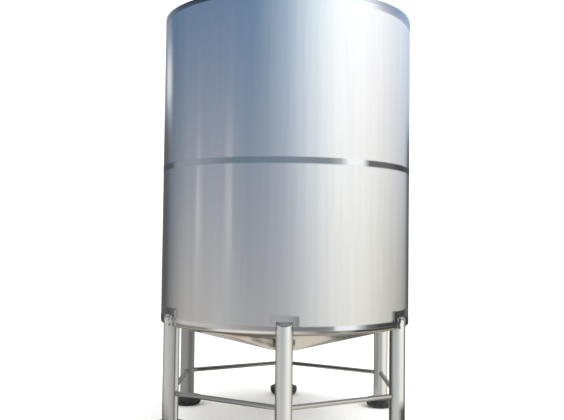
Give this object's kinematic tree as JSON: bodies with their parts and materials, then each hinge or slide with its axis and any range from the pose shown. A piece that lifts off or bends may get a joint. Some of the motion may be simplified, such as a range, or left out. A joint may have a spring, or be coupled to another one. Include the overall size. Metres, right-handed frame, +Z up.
{
  "type": "vertical storage tank",
  "caption": "Upright round stainless tank with cone ends, on tube legs with round feet and straight rails between them.",
  "frame": {"origin": "on the floor, on the tank's axis", "axes": "+Z up along the tank's axis; one leg stands on the -Y side and the manway lies on the +Y side"},
  "size_m": [2.1, 2.324, 3.7622],
  "materials": {
    "shell_plate": "brushed stainless plate with polished bands at the welds",
    "tube": "satin stainless tube and pads",
    "fitting": "turned and polished stainless",
    "foot_rubber": "matt black rubber"
  },
  "bodies": {
    "root": {"shell_lower_1": "shell_plate", "shell_lower_2": "shell_plate", "shell_lower_3": "shell_plate", "shell_lower_4": "shell_plate", "shell_lower_5": "shell_plate", "shell_lower_6": "shell_plate", "shell_upper_1": "shell_plate", "shell_upper_2": "shell_plate", "shell_upper_3": "shell_plate", "shell_upper_4": "shell_plate", "shell_upper_5": "shell_plate", "shell_upper_6": "shell_plate", "bottom_cone": "shell_plate", "roof_cone": "shell_plate", "outlet_nozzle": "fitting", "roof_nozzle": "fitting", "manway_neck": "fitting", "manway_lid": "fitting", "lifting_lug_1": "fitting", "lifting_lug_2": "fitting", "leg_1": "tube", "leg_2": "tube", "leg_3": "tube", "leg_4": "tube", "leg_5": "tube", "leg_6": "tube", "leg_pad_1": "tube", "leg_pad_2": "tube", "leg_pad_3": "tube", "leg_pad_4": "tube", "leg_pad_5": "tube", "leg_pad_6": "tube", "foot_1": "foot_rubber", "foot_2": "foot_rubber", "foot_3": "foot_rubber", "foot_4": "foot_rubber", "foot_5": "foot_rubber", "foot_6": "foot_rubber", "rail_1": "tube", "rail_2": "tube", "rail_3": "tube", "rail_4": "tube", "rail_5": "tube", "rail_6": "tube"}
  },
  "joints": []
}
